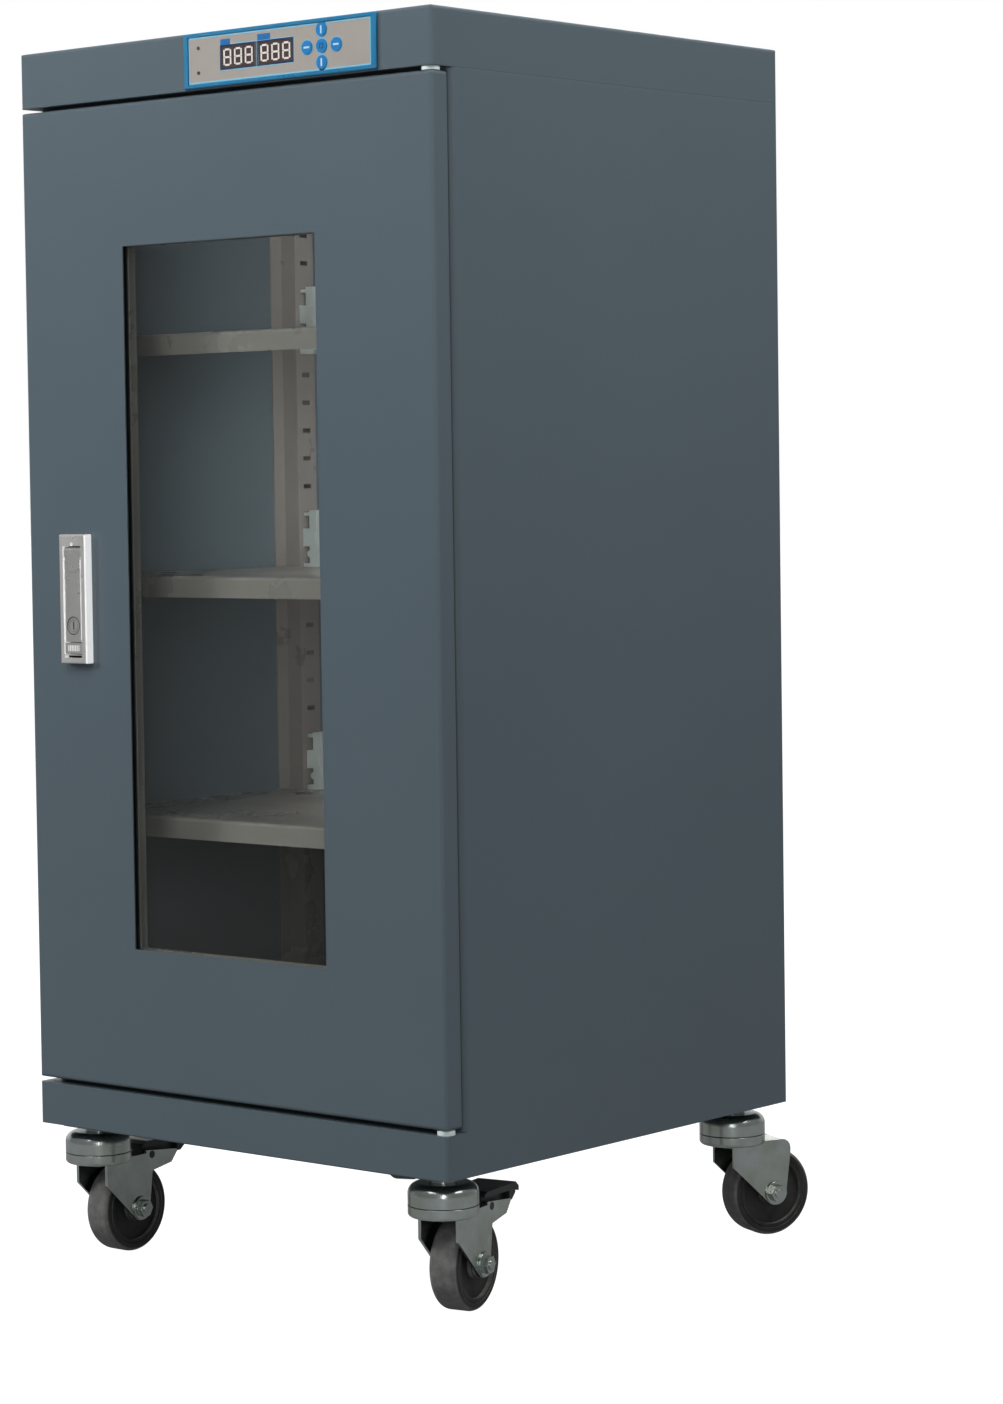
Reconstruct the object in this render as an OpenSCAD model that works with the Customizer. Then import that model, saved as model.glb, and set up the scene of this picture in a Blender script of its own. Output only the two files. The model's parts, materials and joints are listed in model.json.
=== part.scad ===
// Camera dry cabinet on four swivel casters, millimetres, +Z up, front towards -Y.
// The origin lies on the floor under the middle of the whole outline.

/* [Cabinet] */
// Width of the body
body_w = 450; // [400:1:600]
// Depth of the body, door included
body_d = 450; // [400:1:600]
// Height of the top above the floor
total_h = 1010; // [900:1:1300]
// Height of the body's underside above the floor
ride_h = 115; // [112:1:130]
// Thickness of the steel sheet
sheet = 1.2; // [0.8:0.1:1.6]
// Outer bend radius of door, cap and plinth
edge_r = 3; // [2.4:0.1:4.5]
// Outer bend radius where a side wall folds in behind the door
side_fold_r = 6; // [4:0.5:8]
// Width of the folded frame that the door closes on
frame_w = 24; // [22:0.5:32]
// Height of the frame under and over the opening
sill_h = 26; // [25:0.5:40]
// Width of the folded lips on walls, plinth and cap
lip_w = 15; // [10:0.5:18]

/* [Cap and plinth] */
// Height of the cap
cap_h = 45.5; // [45.5:0.5:60]
// Gap between door and cap
cap_gap = 3.5; // [2.5:0.5:6]
// Height of the plinth front
plinth_h = 35; // [30:1:60]
// Gap between door and plinth
plinth_gap = 4; // [2.5:0.5:6]
// Length of the plinth's wrap round each front corner
plinth_wrap = 6; // [5:0.5:10]
// Thickness of the base plate
base_t = 3; // [2:0.5:3]
// Inset of the base plate from the body's sides
base_inset = 10; // [6:0.5:16]

/* [Door] */
// Thickness of the door
door_t = 17; // [16.5:0.5:26]
// Gap between door and frame
seal_gap = 4; // [3.5:0.1:6]
// Width of the window
window_w = 211.5; // [120:0.5:230]
// Height of the window
window_h = 575; // [400:1:640]
// Place of the window's middle beside the door's middle
window_x = -2.75; // [-6:0.25:6]
// Thickness of the window glass
glass_t = 5; // [3:0.5:5]
// Width of glass hidden behind the door's skin
glass_lap = 10; // [8:0.5:12]
// Rubber over each face of the glass
gasket_skin = 1; // [0.8:0.1:1.5]
// Set-back of the rubber from the window's edge
gasket_set = 2; // [1:0.5:4]
// Width of the magnetic seal's foot
seal_w = 14; // [10:0.5:14]
// Set-back of the seal from the door's edge
seal_inset = 7; // [7:0.5:8]

/* [Hinge] */
// Distance of the hinge axis from the side and the front
hinge_inset = 8; // [8:0.1:8.5]
// Radius of the hinge pins
pin_r = 4; // [3:0.1:4.4]
// Wall of the hinge bushes
bush_wall = 2; // [1.2:0.1:2]
// Length of the pins inside the door
pin_len = 18; // [12:1:24]
// Radius of the pins' washers
washer_r = 7; // [6:0.5:7.5]

/* [Handle] */
// Width of the escutcheon
handle_w = 30.5; // [28:0.5:36]
// Height of the escutcheon
handle_h = 107; // [104:0.5:120]
// Height of the escutcheon over the door's skin
handle_t = 8; // [7:0.5:9]
// Distance of the handle's middle from the door's free edge
handle_inset = 58.5; // [57:0.5:75]
// Width of the lever
lever_w = 20; // [18:0.5:20]
// Length of the lever under its pivot
lever_len = 76; // [70:0.5:78]
// Radius of the key cylinder
key_r = 6.8; // [6:0.1:7.5]
// Height of the key cylinder's middle above the lever's end
key_rise = 13.5; // [12:0.5:16]
// Height of the release button
release_h = 9; // [7:0.5:9.5]
// Reach of the strike plate into the opening
strike_reach = 6.5; // [5:0.5:8]
// Lap of the turned latch cam over the strike plate
cam_lap = 7; // [5:0.5:8]
// Thickness of the latch cam
cam_t = 3; // [2:0.5:3]

/* [Control panel] */
// Width of the control panel
panel_w = 204.7; // [204.7:0.1:230]
// Height of the control panel
panel_h = 43.7; // [43.7:0.1:45]
// Place of the panel's middle beside the cap's middle
panel_x = 69.15; // [60:0.5:80]
// Thickness of the panel's frame
panel_t = 2.5; // [2:0.1:4]
// Width of the panel's frame at its ends
panel_rim_w = 5.3; // [4:0.1:7]
// Width of the panel's frame above and below
panel_rim_h = 3.4; // [2.5:0.1:3.8]
// Width of each display window
display_w = 36.6; // [36:0.1:40]
// Height of each display window
display_h = 17.4; // [16:0.1:20]
// Radius of the keys
key_cap_r = 5.4; // [4:0.1:5.6]
// Distance between keys side by side
key_pitch_x = 15.3; // [13:0.1:18]
// Distance between keys one above the other
key_pitch_z = 12.6; // [12.2:0.1:12.9]

/* [Shelves] */
// Height of the lowest shelf's top above the floor
shelf_z0 = 375; // [350:25:400]
// Distance between shelves, a whole number of slots
shelf_pitch = 200; // [150:25:200]
// Pitch of the slots in the uprights
slot_pitch = 25; // [25:25:25]
// Height of the shelves' front lip
shelf_lip_h = 17.5; // [12:0.5:25]
// Set-back of the shelves' lip from the frame
shelf_set = 29; // [24:0.5:40]
// Depth of the uprights from the side wall
upright_t = 17.8; // [14:0.1:20]
// Width of the uprights' slotted face
upright_w = 24; // [20:0.5:26]
// Width of the uprights' welding flanges
upright_flange = 13.5; // [8:0.5:16]
// Place of the front uprights behind the body's middle
upright_front_y = -135; // [-150:0.5:-120]
// Place of the rear uprights behind the body's middle
upright_back_y = 101.5; // [90:0.5:115]
// Width of the shelf clips
clip_w = 13; // [10:0.5:16]
// Height of the shelf clips above the shelf
clip_h = 50.5; // [50.5:0.1:51]

/* [Drying unit] */
// Width of the drying unit
dryer_w = 160; // [120:1:220]
// Height of the drying unit
dryer_h = 140; // [110:1:150]
// Depth of the drying unit
dryer_d = 44; // [36:1:60]
// Wall of the moulded housings
mould_t = 2; // [1.5:0.1:3]

/* [Casters] */
// Radius of the wheels
wheel_r = 37.5; // [35:0.5:38]
// Width of the wheels
wheel_w = 25; // [20:0.5:26]
// Trail of the wheels behind the swivel axis
trail = 32; // [28:0.5:34]
// Distance of the swivel axes from the body's sides
caster_inset = 34; // [32:0.5:45]
// Radius of the swivel race
race_r = 28; // [26:0.5:30]
// Thickness of the fork's plate
fork_t = 2.5; // [2:0.1:3]
// Radius of the kingpin
kingpin_r = 6; // [5:0.1:7]
// Radius of the wheel axle
axle_r = 4; // [3:0.1:5]
// Turn of the front left caster as it stands
turn_fl = 1.4; // [-30:0.1:30]
// Turn of the front right caster as it stands
turn_fr = 11.3; // [-30:0.1:30]
// Turn of the rear casters, mirrored left and right
turn_b = 24; // [0:0.1:40]

/* [Hidden] */
$fn = 48;
fine_fn = 24;
cut = 1;
fit = 0.3;
run_gap = 0.05;
hw = body_w / 2;
hd = body_d / 2;
door_back_y = door_t - hd;
frame_y = door_back_y + seal_gap;
plinth_top = ride_h + plinth_h;
door_z0 = plinth_top + plinth_gap;
cap_z0 = total_h - cap_h;
door_z1 = cap_z0 - cap_gap;
door_h = door_z1 - door_z0;
door_mid = (door_z0 + door_z1) / 2;
floor_z = plinth_top + sill_h;
ceiling_z = cap_z0 - sill_h;
opening_x = hw - frame_w;
inner_y = hd - 2 * sheet;

skin_y = sheet - hd;
glass_y0 = skin_y + gasket_skin;
glass_y1 = glass_y0 + glass_t;
gasket_y1 = glass_y1 + gasket_skin;
gasket_side = 3;
panel_lap = 6;
seal_foot_t = 1.5;
seal_bulb_inset = 2;
shaft_hole_r = 6;

hinge_x = hw - hinge_inset;
hinge_y = hinge_inset - hd;
bush_r = pin_r + bush_wall;
pin_head_h = 3;

handle_x = handle_inset - hw;
handle_front = -hd - handle_t;
handle_z0 = door_mid - handle_h / 2;
handle_z1 = door_mid + handle_h / 2;
handle_bevel = 1.5;
pocket_floor_y = -hd - sheet;
lever_gap = 0.6;
lever_proud = 0.6;
lever_t = 5.4;
lever_front = handle_front + lever_proud;
knuckle_r = lever_t / 2;
pivot_y = lever_front + knuckle_r;
pivot_drop = 13;
pivot_z = handle_z1 - pivot_drop;
pivot_r = 1.5;
pivot_pin_lap = 2;
lever_bevel = 0.7;
lever_end_z = pivot_z - lever_len;
key_z = lever_end_z + key_rise;
release_gap = 0.8;
release_z1 = lever_end_z - release_gap;
release_z0 = release_z1 - release_h;
lock_depth = 13;
cam_shaft_r = 4;
cam_w = 14;
cam_len = handle_x + opening_x - strike_reach + cam_lap;
cam_y0 = frame_y + 2 * sheet + 2 * fit;
cam_round = 4;

panel_edge = 1.2;
panel_lift = 0.2;
panel_z = total_h - cap_h / 2 + panel_lift;
panel_front = -hd - panel_t;
face_t = 1.5;
face_front = -hd - face_t;
face_w = panel_w - 2 * panel_rim_w;
face_h = panel_h - 2 * panel_rim_h;
face_cut_rim_x = 11;
face_cut_rim_z = 3.2;
face_cut_x = panel_w / 2 - face_cut_rim_x;
face_cut_z = panel_h / 2 - face_cut_rim_z;
display_x1 = -43.15;
display_x2 = -3;
display_dz = 0.2;
digit_w = 8.4;
digit_h = 13.6;
digit_pitch = 11.6;
digit_bar = 1.5;
digit_gap = 0.35;
digit_t = 0.2;
window_t = 1.2;
window_recess = 0.2;
keys_x = 46.05;
keys_dz = 0.3;
key_proud = 0.8;
key_stem_r = 2.2;
lamp_x = -86.25;
lamp_dz = 9.8;
lamp_r = 1.4;
lamp_set = 0.5;
board_set = 11;
board_y = board_set - hd;
board_t = 1.6;
post_r = 1.4;
relay_w = 40;
relay_d = 18;
relay_h = 24;
inlet_inset = 75;
inlet_x = inlet_inset - hw;
inlet_w = 28;
inlet_h = 20.5;

slot_w = 9.7;
slot_h = 3.9;
hook_set = 3;
hook_t = 2.8;
hook_w = 9;
upright_x = hw - sheet - upright_t;
upright_gap = 12;
upright_z0 = floor_z + upright_gap;
upright_z1 = ceiling_z - sheet - fit;
slots_below = 7;
slot_z0 = shelf_z0 - hook_set - slots_below * slot_pitch;
slot_count = floor((upright_z1 - slot_z0) / slot_pitch) + 1;
shelf_t = 1.2;
shelf_side_gap = 2;
shelf_x = hw - sheet - shelf_side_gap;
shelf_y0 = frame_y + shelf_set;
shelf_back_gap = 8;
shelf_y1 = inner_y - shelf_back_gap;
notch_d = 36;
notch_gap = 2;
notch_w = upright_w + 2 * notch_gap;

dryer_lift = 14;
dryer_z0 = floor_z + dryer_lift;
vent_count = 6;
vent_h = 4;
vent_pitch = 12;
vent_rim = 25;
vent_w = dryer_w - 2 * vent_rim;
probe_w = 36;
probe_h = 52;
probe_t = 12;
probe_slots = 5;

handle_reach = hd + handle_t;
caster_x = hw - caster_inset;
caster_y = hd - caster_inset;
wheel_reach = caster_y + (trail + wheel_r) * cos(turn_b) + wheel_w / 2 * sin(turn_b);
stand_y = (handle_reach - wheel_reach) / 2;
ring_gap = 5.5;
ring_z0 = 2 * wheel_r + ring_gap;
ring_h = 8.8;
race_gap = 0.7;
race_z0 = ring_z0 + ring_h + race_gap;
race_h = 17;
race_round = 8.5;
neck_r = 11;
stem_r = 6;
stem_up = 14;
nut_af = 19;
nut_h = 8;
king_head_r = 11;
king_head_h = 3;
cheek_gap = 3;
cheek_x = wheel_w / 2 + cheek_gap + fork_t;
cheek_front = -9;
cheek_back = 47;
cheek_shoulder = 62;
axle_boss_r = 10.5;
bridge_round = 8;
axle_bush_wall = 2;
bush_out_r = axle_r + axle_bush_wall;
axle_washer_r = 10;
axle_washer_t = 1.6;
axle_nut_af = 13;
axle_nut_h = 4.6;
axle_stub = 1.4;
pedal_pivot_y = 46;
pedal_pivot_z = 81;
pedal_pin_r = 3;
pedal_half = 11;
brake_end = 78;
brake_low = [70, 71];

screw_rise = 9;
screw_z0 = ride_h + screw_rise;
screw_pitch = 125;
screw_r = 3.5;
screw_head = 1.6;
screw_count = floor((cap_z0 - screw_z0) / screw_pitch) + 1;

// Colours
coat = [0.30, 0.35, 0.39];
inside_coat = [0.27, 0.29, 0.30];
zinc = [0.72, 0.76, 0.78];
rubber = [0.10, 0.10, 0.11];
white_plastic = [0.82, 0.86, 0.84];
panel_blue = [0.12, 0.50, 0.78];
panel_grey = [0.68, 0.65, 0.62];

// Height of a vent's middle above the drying unit's foot
function vent_z(i) = dryer_h / 2 + (i - (vent_count - 1) / 2) * vent_pitch;

// Helpers
module block(lo, hi) {
    translate(lo) cube(hi - lo);
}

module round_rect(lo, hi, r) {
    translate([lo.x + r, lo.y]) square([hi.x - lo.x - 2 * r, hi.y - lo.y]);
    translate([lo.x, lo.y + r]) square([hi.x - lo.x, hi.y - lo.y - 2 * r]);
    for (x = [lo.x + r, hi.x - r], y = [lo.y + r, hi.y - r]) translate([x, y]) circle(r);
}

module top_round(w, h, r) {
    translate([-w / 2, 0]) square([w, h - r]);
    translate([r - w / 2, 0]) square([w - 2 * r, h]);
    for (x = [r - w / 2, w / 2 - r]) translate([x, h - r]) circle(r);
}

// Box that stands on z = 0, with round upright edges and round top edges
module soft_box(w, d, h, r) {
    intersection() {
        linear_extrude(h) round_rect([-w / 2, -d / 2], [w / 2, d / 2], r);
        rotate([90, 0, 0]) linear_extrude(d, center = true) top_round(w, h, r);
        rotate([90, 0, 90]) linear_extrude(w, center = true) top_round(d, h, r);
    }
}

module wall_ring(y0, y1, r) {
    difference() {
        round_rect([-hw, y0], [hw, y1], r);
        round_rect([sheet - hw, y0 + sheet], [hw - sheet, y1 - sheet], r - sheet);
    }
}

// Sheet strip folded along X: a flat leg towards +Y and a leg downwards
module bent_strip(w, run, drop) {
    rotate([90, 0, 90]) linear_extrude(w, center = true) {
        translate([edge_r, -sheet]) square([run - edge_r, sheet]);
        translate([0, -drop]) square([sheet, drop - edge_r]);
        translate([edge_r, -edge_r]) intersection() {
            difference() {
                circle(edge_r);
                circle(edge_r - sheet);
            }
            translate([-edge_r, 0]) square(edge_r);
        }
    }
}

module ring_block(lo, hi, inner_lo, inner_hi) {
    difference() {
        block(lo, hi);
        block([inner_lo.x, lo.y - cut, inner_lo.z], [inner_hi.x, hi.y + cut, inner_hi.z]);
    }
}

module hex_prism(af, h) {
    intersection_for (a = [0, 60, 120]) rotate([0, 0, a]) translate([-af / 2, -af, 0]) cube([af, 2 * af, h]);
}

module body_place() {
    translate([0, stand_y, 0]) children();
}

module door_place() {
    body_place() translate([0, 0, door_mid]) children();
}

module caster_place(sx, sy, turn) {
    body_place() translate([sx * caster_x, sy * caster_y, 0]) rotate([0, 0, turn]) children();
}

// Cabinet body
module side_panel() {
    body_place() {
        translate([0, 0, plinth_top]) linear_extrude(cap_z0 - plinth_top) {
            intersection() {
                wall_ring(frame_y, hd, side_fold_r);
                translate([opening_x, frame_y]) square([frame_w, hd]);
            }
            intersection() {
                wall_ring(frame_y, hd, edge_r);
                translate([hw - lip_w, frame_y + hd]) square([lip_w, -frame_y]);
            }
        }
        translate([0, 0, ride_h]) linear_extrude(plinth_h) intersection() {
            wall_ring(-hd, hd, edge_r);
            translate([hw - lip_w, plinth_wrap - hd]) square([lip_w, body_d]);
        }
        block([hw - lip_w, frame_y + side_fold_r, cap_z0 - sheet], [hw - sheet / 2, hd - edge_r, cap_z0]);
        block([hw - lip_w, lip_w + fit - hd, ride_h], [hw - sheet / 2, hd - edge_r, ride_h + sheet]);
    }
}

module side_panel_left() {
    color(coat) mirror([1, 0, 0]) side_panel();
}

module side_panel_right() {
    color(coat) side_panel();
}

module back_panel() {
    color(coat) body_place() difference() {
        block([edge_r + fit - hw, inner_y, ride_h + sheet + fit],
              [hw - edge_r - fit, hd - sheet, cap_z0 - sheet - fit]);
        for (i = [0:vent_count - 1]) translate([0, hd - sheet, dryer_z0 + vent_z(i)])
            cube([vent_w, 2 * cut + 2 * sheet, vent_h], center = true);
    }
}

module pan(drop) {
    translate([0, frame_y, 0]) bent_strip(2 * (opening_x - fit), side_fold_r + edge_r, drop);
    translate([0, 0, -sheet]) linear_extrude(sheet) {
        translate([side_fold_r - hw, frame_y + sheet + fit + edge_r])
            square([2 * (hw - side_fold_r), side_fold_r]);
        translate([sheet + fit - hw, frame_y + side_fold_r + edge_r])
            square([2 * (hw - sheet - fit), inner_y - fit - frame_y - side_fold_r - edge_r]);
    }
}

module floor_pan() {
    color(inside_coat) body_place() translate([0, 0, floor_z]) pan(sill_h);
}

module ceiling_pan() {
    color(inside_coat) body_place() translate([0, 0, ceiling_z]) mirror([0, 0, 1]) pan(sill_h);
}

module plinth_flange(depth) {
    linear_extrude(sheet) {
        intersection() {
            round_rect([-hw, -hd], [hw, hd], edge_r);
            translate([-hw, -hd]) square([body_w, plinth_wrap]);
        }
        translate([sheet + fit - hw, plinth_wrap - hd])
            square([2 * (hw - sheet - fit), depth - plinth_wrap]);
    }
}

module plinth_front() {
    color(coat) body_place() translate([0, 0, ride_h]) difference() {
        union() {
            linear_extrude(plinth_h) intersection() {
                wall_ring(-hd, hd, edge_r);
                translate([-hw, -hd]) square([body_w, plinth_wrap]);
            }
            plinth_flange(lip_w);
            translate([0, 0, plinth_h - sheet]) plinth_flange(frame_y + sheet + hd);
        }
        translate([hinge_x, hinge_y, plinth_h - sheet - cut]) cylinder(r = pin_r, h = sheet + 2 * cut);
    }
}

module base_plate() {
    color(coat) body_place() difference() {
        translate([0, 0, ride_h - base_t]) linear_extrude(base_t)
            round_rect([base_inset - hw, base_inset - hd], [hw - base_inset, hd - base_inset], base_inset);
        for (x = [-caster_x, caster_x], y = [-caster_y, caster_y])
            translate([x, y, ride_h - base_t - cut]) cylinder(r = stem_r, h = base_t + 2 * cut);
    }
}

module top_cover() {
    color(coat) body_place() difference() {
        translate([0, 0, cap_z0]) soft_box(body_w, body_d, cap_h, edge_r);
        translate([0, 0, cap_z0 + sheet])
            soft_box(body_w - 2 * sheet, body_d - 2 * sheet, cap_h - 2 * sheet, edge_r - sheet);
        block([lip_w - hw, frame_y + lip_w, cap_z0 - cut], [hw - lip_w, hd - lip_w, cap_z0 + sheet + cut]);
        translate([panel_x, -hd, panel_z])
            cube([2 * face_cut_x, 2 * sheet + 2 * cut, 2 * face_cut_z], center = true);
        translate([inlet_x, hd, panel_z]) cube([inlet_w, 2 * sheet + 2 * cut, inlet_h], center = true);
        translate([hinge_x, hinge_y, cap_z0 - cut]) cylinder(r = pin_r, h = sheet + 2 * cut);
    }
}

// Slotted uprights, shelves and clips
module hat_profile() {
    half = upright_w / 2;
    difference() {
        union() {
            translate([upright_x, -half]) square([upright_t, upright_w]);
            translate([hw - 2 * sheet, -half - upright_flange])
                square([sheet, upright_w + 2 * upright_flange]);
        }
        translate([upright_x + sheet, sheet - half]) square([upright_t, upright_w - 2 * sheet]);
    }
}

module upright(y) {
    color(inside_coat) body_place() translate([0, y, 0]) difference() {
        translate([0, 0, upright_z0]) linear_extrude(upright_z1 - upright_z0) hat_profile();
        for (i = [0:slot_count - 1]) translate([upright_x, 0, slot_z0 + i * slot_pitch])
            cube([2 * sheet + cut, slot_w, slot_h], center = true);
    }
}

module shelf(z) {
    color(inside_coat) body_place() {
        translate([0, 0, z - shelf_t]) linear_extrude(shelf_t) difference() {
            translate([-shelf_x, shelf_y0 + edge_r]) square([2 * shelf_x, shelf_y1 - shelf_y0 - edge_r]);
            for (sx = [-1, 1], y = [upright_front_y, upright_back_y])
                translate([sx * shelf_x, y]) square([2 * notch_d, notch_w], center = true);
        }
        translate([0, shelf_y0, z]) bent_strip(2 * shelf_x, 2 * edge_r, shelf_lip_h);
        translate([0, shelf_y1, z]) mirror([0, 1, 0]) bent_strip(2 * shelf_x, 2 * edge_r, shelf_lip_h);
    }
}

// One clip for the right-hand wall, its shelf's top at z = 0, the upright's face at x = 0
module clip() {
    column = 16;
    column_t = 8.5;
    block_z = 26;
    block_h = 16;
    ledge_t = 8;
    ledge_reach = 30;
    recess = 2.6;
    foot = 3.2;
    rotate([90, 0, 0]) {
        linear_extrude(clip_w, center = true) difference() {
            union() {
                translate([-column, 0]) square([column_t, clip_h]);
                translate([-column, block_z - block_h / 2]) square([column, block_h]);
                translate([-column, -shelf_t - ledge_t]) square([column, ledge_t]);
                translate([-ledge_reach, -shelf_t - ledge_t / 2]) square([ledge_reach, ledge_t / 2]);
                translate([-column, -shelf_t - ledge_t / 2]) square([column, ledge_t]);
                translate([column_t - column, ledge_t + foot]) circle(foot, $fn = fine_fn);
            }
            translate([-column, block_z]) square([2 * recess, block_h - 2 * recess], center = true);
            translate([-ledge_reach - cut, -shelf_t]) square([ledge_reach + cut - column, ledge_t]);
        }
        linear_extrude(hook_w, center = true) for (z = [-hook_set, 2 * slot_pitch - hook_set])
            translate([column_t - column, z - hook_t / 2]) square([column - column_t + hook_set, hook_t]);
    }
}

module shelf_clips() {
    color(white_plastic) body_place()
        for (sx = [0, 1], y = [upright_front_y, upright_back_y], i = [0:2])
            mirror([sx, 0, 0]) translate([upright_x, y, shelf_z0 + i * shelf_pitch]) clip();
}

// Drying unit on the back wall
module dryer_housing() {
    color(inside_coat) body_place() translate([0, inner_y, dryer_z0]) difference() {
        translate([0, 0, dryer_h / 2]) rotate([90, 0, 0]) soft_box(dryer_w, dryer_h, dryer_d, edge_r);
        block([mould_t - dryer_w / 2, mould_t - dryer_d, mould_t],
              [dryer_w / 2 - mould_t, cut, dryer_h - mould_t]);
        for (i = [0:vent_count - 1])
            translate([0, -dryer_d, vent_z(i)])
                cube([vent_w, 2 * mould_t + cut, vent_h], center = true);
    }
}

module dryer_cartridge() {
    color(white_plastic) body_place()
        block([mould_t + fit - dryer_w / 2, inner_y - dryer_d + mould_t + fit, dryer_z0 + mould_t],
              [dryer_w / 2 - mould_t - fit, inner_y - fit, dryer_z0 + dryer_h - 2 * mould_t]);
}

module humidity_probe() {
    slot = 2;
    color(white_plastic) body_place() translate([hw - sheet, 0, ceiling_z - probe_h - mould_t]) difference() {
        rotate([90, 0, -90]) soft_box(probe_w, 2 * probe_h, probe_t, edge_r);
        block([-probe_t - cut, -probe_w, -2 * probe_h], [cut, probe_w, 0]);
        for (i = [1:probe_slots]) translate([-probe_t, 0, i * probe_h / (probe_slots + 2)])
            cube([2 * slot, probe_w - 4 * edge_r, slot], center = true);
    }
}

// Control panel in the cap
module panel_place() {
    body_place() translate([panel_x, 0, panel_z]) children();
}

module panel_hole(x, z, w, h) {
    translate([x, face_front, z]) cube([w, 2 * (face_front + hd) + 2 * panel_t + 2 * cut, h], center = true);
}

function key_spots() = [[0, key_pitch_z], [0, -key_pitch_z], [-key_pitch_x, 0], [key_pitch_x, 0], [0, 0]];

module fascia_frame() {
    color(panel_blue) panel_place() difference() {
        translate([0, -hd, 0]) rotate([90, 0, 0]) soft_box(panel_w, panel_h, panel_t, panel_edge);
        block([-face_w / 2 - fit, panel_front - cut, -face_h / 2 - fit],
              [face_w / 2 + fit, cut - hd, face_h / 2 + fit]);
    }
}

module fascia_face() {
    color(panel_grey) panel_place() difference() {
        block([-face_w / 2, face_front, -face_h / 2], [face_w / 2, -hd, face_h / 2]);
        for (x = [display_x1, display_x2])
            panel_hole(x, display_dz, display_w, display_h);
        for (p = key_spots()) translate([keys_x + p.x, cut - hd, keys_dz + p.y]) rotate([90, 0, 0])
            cylinder(r = key_cap_r + fit, h = panel_t + cut);
        for (z = [-lamp_dz, lamp_dz]) translate([lamp_x, cut - hd, z]) rotate([90, 0, 0])
            cylinder(r = lamp_r, h = panel_t + cut, $fn = fine_fn);
    }
}

module display_windows() {
    color([0.22, 0.18, 0.17]) panel_place() for (x = [display_x1, display_x2])
        block([x - display_w / 2, face_front + window_recess, display_dz - display_h / 2],
              [x + display_w / 2, face_front + window_recess + window_t, display_dz + display_h / 2]);
}

module digit() {
    half_h = (digit_h - digit_bar) / 2;
    half_w = (digit_w - digit_bar) / 2;
    for (z = [-half_h, 0, half_h]) translate([0, 0, z])
        cube([digit_w - 2 * digit_bar - 2 * digit_gap, digit_t, digit_bar], center = true);
    for (x = [-half_w, half_w], z = [-half_h / 2, half_h / 2]) translate([x, 0, z])
        cube([digit_bar, digit_t, half_h - digit_gap], center = true);
}

module display_digits() {
    color([0.92, 0.90, 0.86]) panel_place() for (x = [display_x1, display_x2], i = [-1:1])
        translate([x + i * digit_pitch, face_front + window_recess - digit_t / 2, display_dz]) digit();
}

module status_lamps() {
    color([0.15, 0.13, 0.12]) panel_place() for (z = [-lamp_dz, lamp_dz])
        translate([lamp_x, -hd, z]) rotate([90, 0, 0]) {
            cylinder(r = lamp_r, h = panel_t - lamp_set, $fn = fine_fn);
        }
}

module key(i) {
    p = key_spots()[i];
    color(panel_blue) panel_place() translate([keys_x + p.x, 0, keys_dz + p.y]) {
        translate([0, -hd, 0]) rotate([90, 0, 0]) cylinder(r = key_cap_r, h = -face_front - hd + key_proud);
        translate([0, board_y - key_proud - 2 * fit, 0]) rotate([90, 0, 0])
            cylinder(r = key_stem_r, h = hd + board_y - key_proud - 2 * fit, $fn = fine_fn);
    }
}

module control_board() {
    half_w = face_cut_x - 2;
    half_h = face_cut_z - fit;
    part_d = board_y + hd;
    color([0.10, 0.30, 0.18]) panel_place() {
        block([-half_w, board_y, -half_h], [half_w, board_y + board_t, half_h]);
        for (x = [2 * post_r - half_w, half_w - 2 * post_r], z = [post_r - half_h, half_h - post_r])
            translate([x, board_y + cut, z]) rotate([90, 0, 0])
                cylinder(r = post_r, h = part_d + cut, $fn = fine_fn);
        for (x = [display_x1, display_x2])
            block([x - display_w / 2 + fit, face_front + window_recess + window_t,
                   display_dz - display_h / 2 + fit],
                  [x + display_w / 2 - fit, board_y + cut, display_dz + display_h / 2 - fit]);
        block([-half_w, board_y, -half_h], [relay_w - half_w, board_y + relay_d, relay_h - half_h]);
    }
}

module power_inlet() {
    depth = 18;
    rim = 2.4;
    pin_w = 2;
    pin_h = 4;
    pin_set = 5;
    spread = 7;
    color(rubber) body_place() translate([inlet_x, hd, panel_z]) {
        difference() {
            union() {
                block([-inlet_w, 0, -inlet_h / 2 - rim], [inlet_w, rim, inlet_h / 2 + rim]);
                block([-inlet_w / 2, -depth, -inlet_h / 2], [inlet_w / 2, rim, inlet_h / 2]);
            }
            block([rim - inlet_w / 2, rim - depth, rim - inlet_h / 2],
                  [inlet_w / 2 - rim, rim + cut, inlet_h / 2 - rim]);
        }
        for (p = [[-spread, -rim], [0, rim], [spread, -rim]])
            translate([p.x - pin_w / 2, rim / 2 - depth, p.y - pin_h / 2]) cube([pin_w, depth - pin_set, pin_h]);
    }
}

// Small hardware on the body
module back_screws() {
    inset = lip_w / 2;
    color(zinc) body_place() for (sx = [-1, 1], i = [0:screw_count - 1])
        translate([sx * (hw - inset), hd, screw_z0 + i * screw_pitch]) rotate([-90, 0, 0])
            cylinder(r = screw_r, h = screw_head, $fn = fine_fn);
}

module hinge_pin(gap) {
    cylinder(r = pin_r, h = pin_head_h + sheet + gap + pin_len);
    cylinder(r = bush_r, h = pin_head_h);
    translate([0, 0, pin_head_h + sheet]) cylinder(r = washer_r, h = gap - fit);
}

module hinge_pins() {
    color(white_plastic) body_place() translate([hinge_x, hinge_y, 0]) {
        translate([0, 0, plinth_top - sheet - pin_head_h]) hinge_pin(plinth_gap);
        translate([0, 0, cap_z0 + sheet + pin_head_h]) mirror([0, 0, 1]) hinge_pin(cap_gap);
    }
}

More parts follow.
